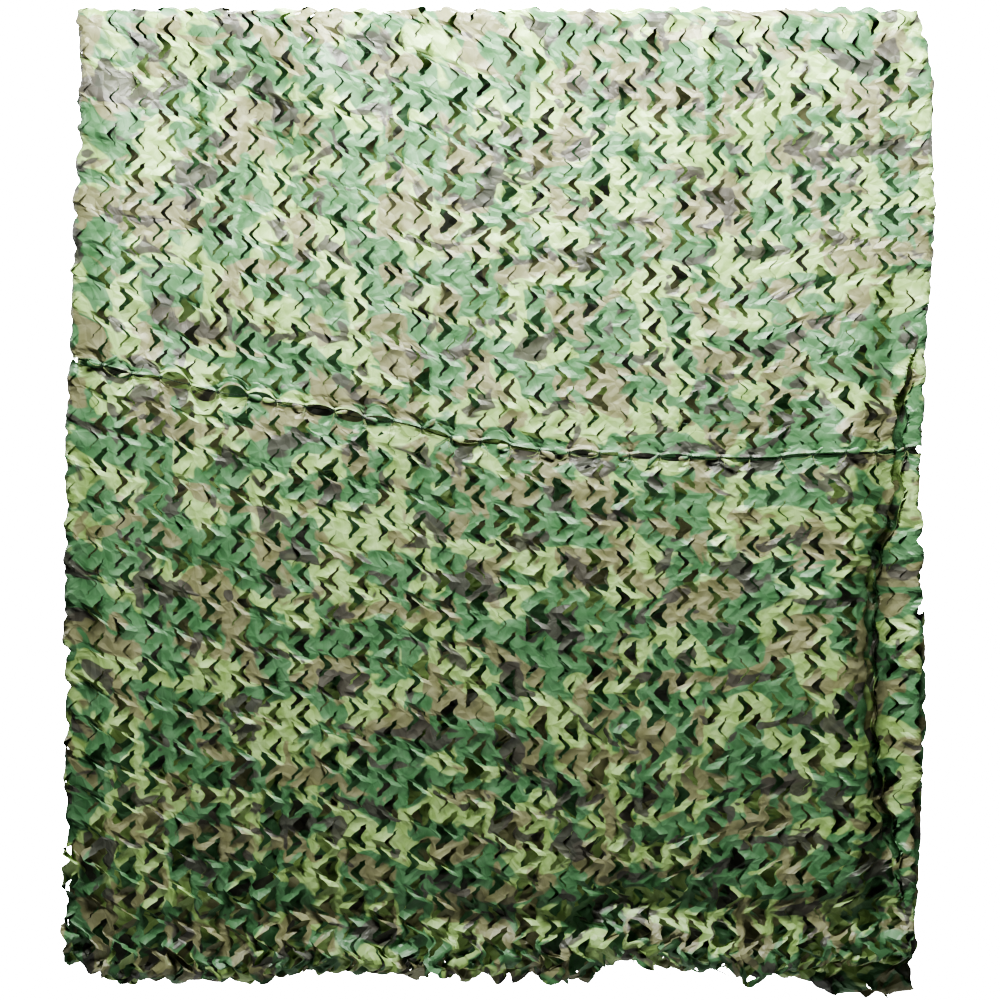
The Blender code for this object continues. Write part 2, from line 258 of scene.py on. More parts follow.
def pleated(across, drop):
    """Place across and extra depth of the front layer, with a pleat where its solid narrows."""
    edge = side_line(FRONT_SIDES, 2, drop)
    size = eased(narrowing(drop) / PLEAT_FADE) + PLEAT_LEAST
    edge = edge + size * PLEAT_WAVE * np.sin(drop * 2 * math.pi * REPEATS / HUNG_LENGTH)
    turn, deep, half = PLEAT_TURN * size, PLEAT_DEEP * size, PLEAT_WIDE / 2 * size
    runs = (turn * math.pi / 2, deep, half * math.pi, deep, turn * math.pi / 2)
    left_over = np.maximum(across - edge + turn, 0.0)
    steps = []
    for run in runs:
        steps.append(np.minimum(left_over, run))
        left_over = left_over - steps[-1]
    place = np.minimum(across, edge - turn) + left_over + turn * np.sin(steps[0] / turn)
    place += half * (1 - np.cos(steps[2] / half)) + turn * (1 - np.cos(steps[4] / turn))
    depth = turn * (1 - np.cos(steps[0] / turn)) + steps[1] + half * np.sin(steps[2] / half)
    depth -= steps[3] + turn * np.sin(steps[4] / turn)
    return place, depth + SET_BACK * size * (steps[4] > 0.0)


print(f"the pleat takes up {PLEAT_SPARE:.3f} m of cloth")

# %% [markdown]
# Cut cloth curls at its free sides. The sides could simply end, and would then look like a
# row of cut paper. Here both edges of every layer roll back round a soft bend, so the net has
# nearly straight sides and some thickness when it is seen from the side.

# %% Roll the side edges back
ROLL_RADIUS = 0.012          # of the bend
ROLL_SPARE = 0.018           # cloth of each edge that turns back
MOST_ROLL = 2.4              # radians that it turns through


def rolled(across, left, right, outward):
    """Place across and extra depth of cloth whose two edges turn back, with its relief."""
    past = np.maximum(left - across, 0.0) + np.maximum(across - right, 0.0)
    turn = np.minimum(past / ROLL_RADIUS, MOST_ROLL)
    after = past - turn * ROLL_RADIUS
    outward = np.clip(outward, -ROLL_RADIUS / 2, ROLL_RADIUS / 2)
    reach = (ROLL_RADIUS + outward) * np.sin(turn) + after * np.cos(turn)
    place = np.clip(across, left, right) + np.where(across < left, -reach, reach)
    return place, (ROLL_RADIUS + outward) * (1 - np.cos(turn)) + after * np.sin(turn)


print(f"{ROLL_SPARE:.3f} m of cloth turns back at each side")

# %% [markdown]
# Above the front foot the weight of the loose cloth draws a shallow groove across the net, and
# the foot itself swells out below it. One more crease table could say that, but both follow
# the foot's own line, so their depth is given along the foot instead.

# %% Press the groove above the front foot
GROOVE_UP = 0.095            # from the bend of the foot up to the groove
BULGE_UP = 0.034             # and to the bulge below it
GROOVE_HALF = 0.030          # half height of either
BULGE_SHARE = 0.6            # of the groove's depth by which the bulge stands out
# place across, depth
GROOVE = np.array((
    (-0.69, 0.004), (-0.56, 0.006), (-0.42, 0.004), (-0.30, 0.010), (-0.12, 0.008),
    (0.04, 0.016), (0.22, 0.022), (0.34, 0.014), (0.46, 0.006), (0.56, 0.014), (0.66, 0.004),
))


def grooved(across, above):
    """Extra depth of the front cloth at a height above its foot: a groove, then a bulge."""
    groove = np.exp(-((above - GROOVE_UP) / GROOVE_HALF) ** 2)
    bulge = np.exp(-((above - BULGE_UP) / GROOVE_HALF) ** 2)
    return drop_at(GROOVE, across) * (groove - BULGE_SHARE * bulge)


print(f"the groove is up to {GROOVE[:, 1].max():.3f} m deep")

# %% [markdown]
# All of that comes together in one function, from a point of the cloth to a place in the world.
# Three hundred thousand points could be moved one by one in a loop. Arrays do the same work in
# a blink, so every helper here takes and gives whole arrays.

# %% Hang a point of cloth in the world
SPARE_POWER = 3              # keeps the pleat's spare cloth near the right side


def hang(share, path, outward, aside=0.0):
    """World points of the cloth, as an array whose last axis is x, y, z."""
    share, path, outward = np.broadcast_arrays(share, path, outward)
    front = path >= 0.0
    foot_drop = foot_drop_at(share, front)
    depth, drop = section(np.abs(path), foot_drop, outward)
    to_bend = leg_end(foot_drop) + HALF_FOLD / 2
    outer = front & (path < to_bend)
    left = np.where(outer, side_line(FRONT_SIDES, 1, drop), side_line(BACK_SIDES, 1, drop))
    right = np.where(outer, side_line(FREE_RIGHT, 1, drop), side_line(BACK_SIDES, 2, drop))
    spare = np.where(outer, PLEAT_SPARE * eased(narrowing(drop) / PLEAT_FADE), 0.0)
    across = left - ROLL_SPARE + share * (right - left + 2 * ROLL_SPARE)
    across = across + spare * share ** SPARE_POWER + aside
    in_pleat, tucked = pleated(across, drop)
    across, turned = rolled(np.where(outer, in_pleat, across), left, right, outward)
    facing = np.where(front, -1.0, 1.0)
    tucked = tucked + grooved(across, to_bend - path)
    y = facing * (depth - turned) + creased(across, drop) + np.where(outer, tucked, 0.0)
    return np.stack([across, y, TOP_RISE * eased(1 - drop / CREASE_FADE) - drop], -1)


def seam_path(share):
    """Path from the top edge down to the front seam."""
    return drop_at(FRONT_SEAM, side_to_side(FRONT_SEAM[0, 1], share)) - TOP_RADIUS + QUARTER


half_way = np.array([0.5])
print("the seam's middle lies at", hang(half_way, seam_path(half_way), 0.0)[0].round(3))

# %% [markdown]
# ## The slit cloth, flat
# A die cuts the cloth along zigzag curves. The slits of one curve go round its right-hand peaks
# and those of the next round its left-hand ones, so the cloth between is a row of whole zigzag
# bands, and tongues that are held at one side only. Holes could be cut with Booleans, but a
# real slit removes no cloth. A grid of bands, with its own points on both sides of every curve,
# makes each slit a real opening with nothing lost.

# %% Mark out the bands
BANDS = 60
POINTS = 14                  # rows of points down a repeat
FACES = 4                    # faces across a band
CUT_PITCH = 0.0228           # width of a band as cut
SWING = 0.012                # of a zigzag to each side
CORNER = 0.06                # roundness of its corners, as a share of a repeat
CUT_LENGTH = 1.60            # of a width as woven

rows = np.arange(REPEATS * POINTS + 1)
phase = (rows % POINTS) / POINTS
from_corner = np.minimum(phase, 1.0 - phase)
from_corner = np.minimum(from_corner, 0.5 - from_corner)
rounded = np.sqrt(from_corner ** 2 + CORNER ** 2) - CORNER
zigzag = (1.0 - rounded / rounded.max()) * np.where(np.abs(phase - 0.5) < 0.25, -1.0, 1.0)
band, row, across_band = np.meshgrid(
    np.arange(BANDS), rows, np.linspace(0.0, 1.0, FACES + 1), indexing="ij"
)
share_of = (band + across_band) / BANDS
flat = np.stack([
    (band + across_band) * CUT_PITCH + SWING * zigzag[row],
    row / POINTS * CUT_LENGTH / REPEATS,
    np.zeros(band.shape),
], -1)
print(f"a width is cut {BANDS * CUT_PITCH:.3f} x {CUT_LENGTH:.2f} m, in {BANDS} bands")

# %% Mark out the slits
HALF_SLIT = 5                # rows from the middle of a slit to its end
SELVAGE = 3                  # rows at each edge that no slit reaches

curve = np.arange(BANDS + 1)[:, None]
middle = np.where(curve % 2 == 0, 0, POINTS // 2)
from_middle = (rows[None, :] - middle + POINTS // 2) % POINTS - POINTS // 2
slit_number = (rows[None, :] - middle + POINTS // 2) // POINTS
is_cut = np.abs(from_middle) < HALF_SLIT
is_cut &= (rows > SELVAGE) & (rows < rows[-1] - SELVAGE)
is_cut[0] = False
is_cut[-1] = False
NEAR = np.clip(1.0 - np.abs(from_middle) / HALF_SLIT, 0.0, 1.0) * is_cut     # 1 mid-slit
SLIT_END = -zigzag[HALF_SLIT]
slit_starts = np.diff(is_cut.astype(int), axis=1) == 1
print(f"{int(slit_starts.sum())} slits in a width of cloth")

# %% [markdown]
# ## The slit cloth, pulled open
# The real cloth takes its relief from its own stiffness: it can't stretch, so when the slits open
# the whole bands twist forward at their free lips, and each tongue hinges back on the line
# between the two ends of its slit. A cloth simulation could find that shape, but a quarter of a
# million faces would take it minutes. Here each slit gets a turn and a lift of its own by chance,
# and the rows of points nearly keep their cut length, so the gaps open much as they do in cloth.

# %% Helpers for chance
NOISE_SPREAD = 0.5
COUNTS = (BANDS + 1, REPEATS + 2)      # curves across, and slits down each one


def smooth_noise(chance, shape, reach):
    """Noise that changes over about reach points of a grid, between about -1 and 1."""
    cells = [int(size / step) + 3 for size, step in zip(shape, reach)]
    coarse = chance.normal(0.0, NOISE_SPREAD, cells)
    down = np.arange(shape[0]) / reach[0]
    over = np.arange(shape[1]) / reach[1]
    i, j = down.astype(int), over.astype(int)
    u, v = eased(down - i)[:, None], eased(over - j)[None, :]
    top = coarse[i][:, j] * (1 - v) + coarse[i][:, j + 1] * v
    foot = coarse[i + 1][:, j] * (1 - v) + coarse[i + 1][:, j + 1] * v
    return top * (1 - u) + foot * u


def over_cloth(chance, size, bands_across, repeats_down):
    """Smooth noise for every point of the cloth, one value on both sides of a curve."""
    reach = (bands_across * FACES, repeats_down * POINTS)
    field = smooth_noise(chance, (BANDS * FACES + 1, rows.size), reach)
    column = band * FACES + np.rint(across_band * FACES).astype(int)
    return size * field[column, row]


def by_slit(values):
    """Values given by curve and slit, repeated for every row of points that a slit has."""
    return np.take_along_axis(values, slit_number, 1)


print(f"{COUNTS[0]} curves of up to {COUNTS[1]} slits take a value each")

# %% Turn the tongues back
TURN = (15.0, 16.0)          # mean and spread of a tongue's turn at its tip, in degrees
TURN_LIMITS = (-8.0, 75.0)
TURN_DRIFT = 0.35            # by which neighbours turn more or less, all together
DRIFT_REACH = (9, 4)         # curves and slits over which that changes
FLIPPED = 0.02               # share of the tongues that turn out to the front
CURL = 0.007                 # length of cloth beside the hinge that takes the bend
FLAT_TURN = 0.01             # radians; a flatter tongue is bent this much, as a divisor


def tongue_turns(chance):
    """Angle in radians for the tongue of every slit."""
    turn = chance.normal(*TURN, COUNTS).clip(*TURN_LIMITS)
    turn = turn * (1 + TURN_DRIFT * smooth_noise(chance, COUNTS, DRIFT_REACH))
    return np.radians(np.where(chance.random(COUNTS) < FLIPPED, -turn, turn))


def curled(past, turn):
    """How much nearer its hinge a curled tongue comes, and how deep, at a place past it."""
    turn = np.where(np.abs(turn) < FLAT_TURN, FLAT_TURN, turn)
    bent = np.minimum(past, CURL)
    angle = turn * bent / CURL
    near = past - CURL / turn * np.sin(angle) - (past - bent) * np.cos(turn)
    return near, CURL / turn * (1 - np.cos(angle)) + (past - bent) * np.sin(turn)


print(f"a tongue turns back by about {TURN[0]:.0f} degrees")

# %% Place the tongues
HUNG_PITCH = 0.0230          # width of a band as hung


def tongues(flat_x, cut_pitch, turn_left, turn_right):
    """Place across and outward of the tongues, each hinged between the ends of its slit."""
    past_right = np.maximum(flat_x - (band + 1) * cut_pitch + SWING * SLIT_END, 0.0)
    past_left = np.maximum(band * cut_pitch + SWING * SLIT_END - flat_x, 0.0)
    near_right, deep_right = curled(past_right, turn_right)
    near_left, deep_left = curled(past_left, turn_left)
    x = flat_x + band * (HUNG_PITCH - cut_pitch) + (HUNG_PITCH - cut_pitch) / 2
    return x - near_right + near_left, -deep_right - deep_left


print(f"a tongue reaches {SWING * (1 + SLIT_END):.3f} m past its hinge")

# %% Lift the whole bands
RISE = 0.0032                # of a whole band's free lip, forward
RISES = (1.0, 0.50)          # mean and spread of the lips' rises, as a share of that
RISE_LIMITS = (0.0, 2.4)
LOOSE_RISE = 4.5             # how much more they rise where the cloth hangs loose
MOST_TILT = 0.9              # slope across a band
EVEN = 1e-6                  # holds a band at its middle where neither lip is free


def whole_bands(cut_pitch, rise):
    """Place across and outward of the whole bands, whose cut width leans but stays the same."""
    left, right = rise[:-1, :, None], rise[1:, :, None]
    out = left * (1 - across_band) + right * across_band
    tilt = np.clip((left - right) / cut_pitch, -MOST_TILT, MOST_TILT)
    held = ((NEAR[:-1] + EVEN) / (NEAR[:-1] + NEAR[1:] + 2 * EVEN))[..., None]
    from_held = (across_band - held) * cut_pitch * np.sqrt(1 - tilt * tilt)
    x = band * HUNG_PITCH + (HUNG_PITCH - cut_pitch) / 2 + held * cut_pitch + from_held
    return x + SWING * zigzag[row], out


print(f"free lips rise by about {RISE * RISES[0] * 1000:.1f} mm")

# %% Part the lips of the slits
PARTING = 0.0086             # gap between the lips of an open slit
PARTS = (1.0, 0.6)           # mean and spread of the gaps, as a share of that
PART_LIMITS = (0.10, 2.6)
LIP_SHAPE = 0.35             # below 1, so that a gap is soon wide from the ends of its slit
LAP = 0.0050                 # and by how much the lips of a shut one lap
LOOSE_GAP = 0.1              # how much wider slits part where the cloth hangs loose
BOTH_SIDES = (slice(None, -1), slice(1, None))     # the curves left and right of each band


def lips(parts, openness, looseness):
    """How far the cloth draws back from the curve at its left, and from that at its right."""
    gap = NEAR[..., None] ** LIP_SHAPE / 2
    lap = LAP * np.maximum(1 - openness, 0)
    return tuple(
        gap[side] * (
            parts[side][..., None] * PARTING * openness * (1 + LOOSE_GAP * looseness) - lap
        )
        for side in BOTH_SIDES
    )


print(f"open slits part by about {PARTING * PARTS[0] * 1000:.1f} mm, and shut ones lap")

# %% [markdown]
# Handled cloth is never even. Its bands stray, its rows run up and down, it is crumpled, and it
# is ruffled along its free sides and in the loose cloth at the top and the feet. Wind or a
# shaken simulation could do that, but layers of smooth seeded noise come out alike every time.

# %% Disturb the whole cloth
# size in metres, and the bands across and repeats down in which it changes
WANDER_ASIDE = (0.0045, 5, 2.2)
WANDER_ALONG = (0.0200, 8, 5)
STEPS = (0.0022, 1.5, 4)     # of each band along its neighbours
UNDULATION = (0.0035, 3, 1.3)
CRUMPLE = (0.0011, 0.8, 0.3)
RUFFLE_CHANGE = (0.7, 0.35)
EDGE_RUFFLE = (0.009, 0.010, 0.014)    # aside, along and outward
LOOSE_RUFFLE = (0.008, 0.008, 0.012)
SHUT_RUFFLE = 0.3            # share of the edge's ruffle where the slits are shut
EDGE_REACH = 0.050           # how far in from its sides the cloth is ruffled
EDGE_REPEATS = 2.5           # over which a laced edge holds its rows straight


def disturb(cloth, chance, inside, openness, looseness):
    """Add the unevenness of handled cloth; inside is each point's distance from its side."""
    ruffled = eased(1 - inside / EDGE_REACH)
    edge_fade = eased(np.minimum(row, rows[-1] - row) / (EDGE_REPEATS * POINTS))
    cloth[..., 0] += over_cloth(chance, *WANDER_ASIDE) * edge_fade
    along = over_cloth(chance, *WANDER_ALONG) + over_cloth(chance, *STEPS)
    cloth[..., 1] += along * edge_fade
    cloth[..., 2] += over_cloth(chance, *UNDULATION) + over_cloth(chance, *CRUMPLE)
    kept = SHUT_RUFFLE + (1 - SHUT_RUFFLE) * np.minimum(openness, 1.0)
    for axis, amount in enumerate(EDGE_RUFFLE):
        amount = amount * ruffled * edge_fade * kept + LOOSE_RUFFLE[axis] * looseness
        cloth[..., axis] += amount * over_cloth(chance, 1.0, *RUFFLE_CHANGE)


print(f"the rows stray by about {WANDER_ALONG[0] * NOISE_SPREAD * 1000:.0f} mm along the cloth")

# %% Open one width of cloth
LOOSE_TURN = (15.0, 60.0)    # mean and spread of a tongue's turn in loose cloth, in degrees
LOOSE_LIMITS = (-2.4, 1.4)   # radians
SHUT_TURN = 20.0             # most that a tongue turns where its slit is shut


def most_turned(openness):
    widest = np.minimum(openness, 1.0)
    return np.radians(SHUT_TURN + (TURN_LIMITS[1] - SHUT_TURN) * widest)


def healed(cloth):
    """Bring both sides of every curve together again where it isn't cut."""
    joined = ~is_cut[1:-1][..., None]
    both = (cloth[:-1, :, -1] + cloth[1:, :, 0]) / 2
    cloth[:-1, :, -1] = np.where(joined, both, cloth[:-1, :, -1])
    cloth[1:, :, 0] = np.where(joined, both, cloth[1:, :, 0])
    return cloth


def opened(seed, openness, relief, looseness, cut_pitch):
    """Points of one width of hung cloth: x across, distance from its seam, and outward.

    openness tells for each band and row how far the slits stand open, about 1 on the face and
    0 where they are shut, relief how far bands and tongues part in depth, and looseness how
    freely they curl there.
    """
    chance = np.random.default_rng(seed)
    turns = by_slit(tongue_turns(chance))
    rises = by_slit(chance.normal(*RISES, COUNTS).clip(*RISE_LIMITS))
    lifted = 1 + LOOSE_RISE * looseness.mean(0) * chance.random(COUNTS)[:, :1]
    curls = by_slit(np.radians(chance.normal(*LOOSE_TURN, COUNTS)).clip(*LOOSE_LIMITS))
    parts = by_slit(chance.normal(*PARTS, COUNTS).clip(*PART_LIMITS))
    band_x, band_out = whole_bands(cut_pitch, NEAR * rises * RISE * relief.mean(0) * lifted)

    openness, looseness, relief = openness[..., None], looseness[..., None], relief[..., None]
    most = most_turned(openness)
    turn_left, turn_right = (
        np.minimum(turns[side][..., None] * relief, most) * (1 - looseness)
        + curls[side][..., None] * looseness
        for side in BOTH_SIDES
    )
    flat_x = (band + across_band) * cut_pitch + SWING * zigzag[row]
    tongue_x, tongue_out = tongues(flat_x, cut_pitch, turn_left, turn_right)

    whole = band % 2 == 0
    left_gap, right_gap = lips(parts, openness, looseness)
    x = np.where(whole, band_x, tongue_x) + left_gap * (1 - across_band) - right_gap * across_band
    along = row / POINTS * HUNG_LENGTH / REPEATS
    cloth = healed(np.stack([x, along, np.where(whole, band_out, tongue_out)], -1))
    inside = np.minimum(flat_x, BANDS * cut_pitch - flat_x)
    disturb(cloth, chance, inside, openness, looseness)
    low, high = cloth[..., 2].min(), cloth[..., 2].max()
    print(f"width of cloth {seed}: relief {low:.4f} to {high:.4f} m")
    return cloth


# %% [markdown]
# ## The print
# The cloth is dyed in four colours, in the blots of a common woodland print. They could be
# painted on an image, but a few noise textures cut off at a level give endless blots of the same
# kind and stay sharp at any size. They read the flat cloth's own map, so the blots break across
# the slits as a real print does.

# %% Helpers for nodes
MIX_FACTOR, MIX_UNDER, MIX_OVER, MIX_RESULT = 0, 6, 7, 2     # sockets of a colour mix


def node(tree, kind, inputs=None, **settings):
    """A new node with its settings, and with the inputs that are given by name."""
    made = tree.nodes.new(kind)
    for key, value in settings.items():
        setattr(made, key, value)
    for key, value in (inputs or {}).items():
        made.inputs[key].default_value = value
    return made


def scaled(tree, value, amount):
    times = node(tree, "ShaderNodeMath", operation="MULTIPLY")
    tree.links.new(value, times.inputs[0])
    times.inputs[1].default_value = amount
    return times.outputs[0]


def new_material(name):
    """A material with its node tree and shader."""
    made = bpy.data.materials.new(name)
    made.use_nodes = True
    return made, made.node_tree, made.node_tree.nodes["Principled BSDF"]


# %% Cut blots out of noise
BLOT_STRETCH = 0.8           # below 1, so that blots are wider than tall
BLOT_EDGE = 0.010            # of the noise, over which a blot's edge runs from none to full
BLOT_COVER = 0.92            # of the dye below that a blot hides
BLOT_NOISE = {"Scale": 1.0, "Detail": 2.5, "Roughness": 0.45, "Distortion": 0.6}


def blots(tree, place, scale, shift, level):
    """A mask of blots: noise over a warped map, cut off at a level."""
    stretched = (BLOT_STRETCH * scale, scale, scale)
    moved = node(tree, "ShaderNodeMapping", {"Location": shift, "Scale": stretched})
    tree.links.new(place, moved.inputs["Vector"])
    noise = node(tree, "ShaderNodeTexNoise", BLOT_NOISE)
    tree.links.new(moved.outputs["Vector"], noise.inputs["Vector"])
    edge = node(tree, "ShaderNodeMapRange", {
        "From Min": level - BLOT_EDGE, "From Max": level + BLOT_EDGE, "To Max": BLOT_COVER
    })
    tree.links.new(noise.outputs["Fac"], edge.inputs["Value"])
    return edge.outputs["Result"]


print(f"blots are {1 / BLOT_STRETCH:.2f} times as wide as tall")

# %% [markdown]
# Coated cloth that has been packed breaks into small flat faces with sharp creases between
# them, and its threads show as fine ribs. Both could be real geometry, but that would take
# millions of faces. Two bump nodes carry them: cells of a Voronoi texture for the faces, and a
# fine wave for the ribs.

# %% Crumple the surface
FACET_SIZE = 0.022           # of the flat faces
FACET_SLOPE = 0.13           # up from their creases
RIB_PITCH = 0.0014           # of the weave's ribs
RIB_DEPTH = 0.00008
WAVE_RADIANS = 20.0          # that the wave texture runs through in a unit, at scale 1
FULL_BUMP = {"Strength": 1.0, "Distance": 1.0}


def crumpled(tree, place):
    """Normals of flat faces with sharp creases between them, and of fine ribs on top."""
    facets = node(
        tree, "ShaderNodeTexVoronoi", {"Scale": 1.0 / FACET_SIZE}, feature="DISTANCE_TO_EDGE"
    )
    tree.links.new(place, facets.inputs["Vector"])
    creases = node(tree, "ShaderNodeBump", FULL_BUMP)
    slope = scaled(tree, facets.outputs["Distance"], FACET_SIZE * FACET_SLOPE)
    tree.links.new(slope, creases.inputs["Height"])
    threads = node(
        tree, "ShaderNodeTexWave", {"Scale": 2 * math.pi / WAVE_RADIANS / RIB_PITCH}
    )
    tree.links.new(place, threads.inputs["Vector"])
    ribs = node(tree, "ShaderNodeBump", FULL_BUMP)
    tree.links.new(scaled(tree, threads.outputs["Fac"], RIB_DEPTH), ribs.inputs["Height"])
    tree.links.new(creases.outputs["Normal"], ribs.inputs["Normal"])
    return ribs.outputs["Normal"]


print(f"flat faces of {FACET_SIZE * 1000:.0f} mm, and ribs {RIB_PITCH * 1000:.1f} mm apart")

# %% [markdown]
# Sun and handling fade a dye unevenly and leave some patches smoother than others. Painted wear
# could show that, but one soft noise that steers colour strength, brightness and roughness
# together looks like the same wear in all three.

# %% Fade the dyes
FADE_NOISE = {"Scale": 38.0, "Detail": 3.0}
FADE_SPAN = {"From Min": 0.3, "From Max": 0.7}               # of the noise that is used
FADES = (("Saturation", 1.10, 0.90), ("Value", 0.84, 1.20))  # at its least and at its most
ROUGHNESS = (0.30, 0.54)     # of the coating, from smooth to worn


def faded(tree, place, colour):
    """The dyes and the roughness of worn cloth: paler, darker and smoother in soft patches."""
    patches = node(tree, "ShaderNodeTexNoise", FADE_NOISE)
    tree.links.new(place, patches.inputs["Vector"])
    rough = node(tree, "ShaderNodeMapRange", {"To Min": ROUGHNESS[0], "To Max": ROUGHNESS[1]})
    tree.links.new(patches.outputs["Fac"], rough.inputs["Value"])
    out = node(tree, "ShaderNodeHueSaturation")
    for socket, least, most in FADES:
        span = node(tree, "ShaderNodeMapRange", {**FADE_SPAN, "To Min": least, "To Max": most})
        tree.links.new(patches.outputs["Fac"], span.inputs["Value"])
        tree.links.new(span.outputs["Result"], out.inputs[socket])
    tree.links.new(colour, out.inputs["Color"])
    return out.outputs["Color"], rough.outputs["Result"]


print(f"roughness runs from {ROUGHNESS[0]} to {ROUGHNESS[1]}")

# %% Mix the printed cloth
LEAF_LIGHT = (0.282, 0.404, 0.158, 1.0)
LEAF_MID = (0.073, 0.170, 0.084, 1.0)
EARTH_TAN = (0.200, 0.195, 0.110, 1.0)
BARK_DARK = (0.073, 0.070, 0.060, 1.0)
# dye, blots in a metre, place of its noise, level at which it is cut off
PRINTED = (
    (LEAF_MID, 12.5, (3.1, 1.7, 0.0), 0.478),
    (EARTH_TAN, 15.0, (11.3, 5.9, 0.0), 0.560),
    (BARK_DARK, 18.0, (23.7, 9.2, 0.0), 0.600),
)
CLOTH_SPECULAR = 0.42        # a little less shine than bare plastic has


def printed_cloth(name):
    made, tree, shader = new_material(name)
    place = node(tree, "ShaderNodeUVMap", uv_map="print").outputs["UV"]
    colour = None
    for dye, scale, shift, level in PRINTED:
        mask = blots(tree, place, scale, shift, level)
        mix = node(tree, "ShaderNodeMix", data_type="RGBA")
        tree.links.new(mask, mix.inputs[MIX_FACTOR])
        mix.inputs[MIX_OVER].default_value = dye
        if colour is None:
            mix.inputs[MIX_UNDER].default_value = LEAF_LIGHT
        else:
            tree.links.new(colour, mix.inputs[MIX_UNDER])
        colour = mix.outputs[MIX_RESULT]
    colour, roughness = faded(tree, place, colour)
    tree.links.new(colour, shader.inputs["Base Color"])
    tree.links.new(roughness, shader.inputs["Roughness"])
    tree.links.new(crumpled(tree, place), shader.inputs["Normal"])
    shader.inputs["Specular IOR Level"].default_value = CLOTH_SPECULAR
    return made


CLOTH = printed_cloth("printed_cloth")
print(f"{CLOTH.name}: {len(PRINTED) + 1} dyes, {len(CLOTH.node_tree.nodes)} nodes")

# %% [markdown]
# ## From grid to sheet
# Each width becomes one open mesh. It could be built face by face with bmesh, but the grid
# already knows which points make a face. Points on both sides of a curve are shared where the
# cloth is whole and kept apart where it is slit. Sharp edges mark the folds of the crumpled
# cloth, and the rest is shaded smooth.

# %% Make a sheet from its points
SHARP_FROM = math.radians(12.0)        # edges that bend more look like folds


def quads_of(shape):
    """Faces of the grid, with one point for both sides of a curve where it isn't cut."""
    own = np.arange(np.prod(shape)).reshape(shape)
    for number in range(BANDS - 1):
        whole = ~is_cut[number + 1]
        own[number + 1, whole, 0] = own[number, whole, -1]
    corners = [own[:, :-1, :-1], own[:, :-1, 1:], own[:, 1:, 1:], own[:, 1:, :-1]]
    return np.stack(corners, -1).reshape(-1, 4)


def add_print_map(mesh, flat_map):
    """Store the flat place of every point in a UV layer named print."""
    corner = np.empty(len(mesh.loops), int)
    mesh.loops.foreach_get("vertex_index", corner)
    layer = mesh.uv_layers.new(name="print")
    layer.data.foreach_set("uv", flat_map[corner].astype(np.float32).ravel())


def placed(name, mesh):
    """An object in the scene for a mesh, riding on the root of the net."""
    made = bpy.data.objects.new(name, mesh)
    bpy.context.scene.collection.objects.link(made)
    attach(made, "root")
    print(f"{name}: {2 * len(mesh.polygons)} triangles")
    return made


def sheet_mesh(name, points, print_shift):
    """One width of cloth as a mesh object, with its print."""
    used, faces = np.unique(quads_of(points.shape[:3]), return_inverse=True)
    mesh = bpy.data.meshes.new(name)
    mesh.from_pydata(points.reshape(-1, 3)[used], [], faces.reshape(-1, 4))
    add_print_map(mesh, flat.reshape(-1, 3)[used][:, :2] + print_shift)
    mesh.shade_smooth()
    mesh.set_sharp_from_angle(angle=SHARP_FROM)
    mesh.materials.append(CLOTH)
    return placed(name, mesh)


# %% [markdown]
# Slits gape where the cloth hangs free on the front and lie nearly shut behind, inside and
# beside the rolled sides. The cloth is loose round the top fold and the feet. One number for
# the whole net would make it look printed, so a table gives the openness down the front, and
# soft steps turn it down towards the sides and behind.

# %% Tell where the slits gape
# path, openness
OPENING = np.array((
    (0.00, 0.45), (0.06, 0.72), (0.20, 0.90), (0.60, 0.92), (1.00, 1.02), (1.55, 1.50),
))
FACE_FROM = -0.02            # path at which the open face of the net begins
FACE_FADE = 0.05             # in which its slits open there
FADE = 0.03                  # path in which openness and looseness end elsewhere
SHUT_RELIEF = 1.05           # relief of the slits that stay shut, behind and inside
BACK_OPEN = 0.35             # openness of the foot behind, as a share of the front one's
LOOSE_AT_TOP = 0.42          # from 0, held flat, to 1, hanging free
LOOSE_AT_FOOT = 0.9
LOOSE_AT_SIDES = 0.04
LOOSE_UP = 0.075             # height of the loose cloth above the bend at the foot
LOOSE_ROUND = 0.050          # and how far it goes on inside
LOOSE_BANDS = 1.6            # bands along each side that hang loose
TOP_REACH = 0.045            # path down from the line over which the top is loose
RIGHT_END = 1.012            # share of the width from which the right side's bands count
OPEN_BANDS = 3.2             # bands in from a side at which the slits stand open
OPEN_OVER = 2.0              # bands in which they open
MOST_CLOSED = 0.98           # how far those beside it are shut
GAPING = (1.32, 1.36, 1.45)  # path at which the left edge gapes: begins, full, ends


def closed_at(share, path):
    """How far the slits along the sides are shut; the left edge gapes above its foot."""
    from_side = np.minimum(share, RIGHT_END - share) * BANDS
    gaping = eased((path - GAPING[0]) / (GAPING[1] - GAPING[0]))
    gaping = gaping * eased((GAPING[2] - path) / FADE) * (share < 0.5)
    closed = MOST_CLOSED * eased((OPEN_BANDS - from_side) / OPEN_OVER) * (1 - gaping)
    return closed, eased(1 - from_side / LOOSE_BANDS)


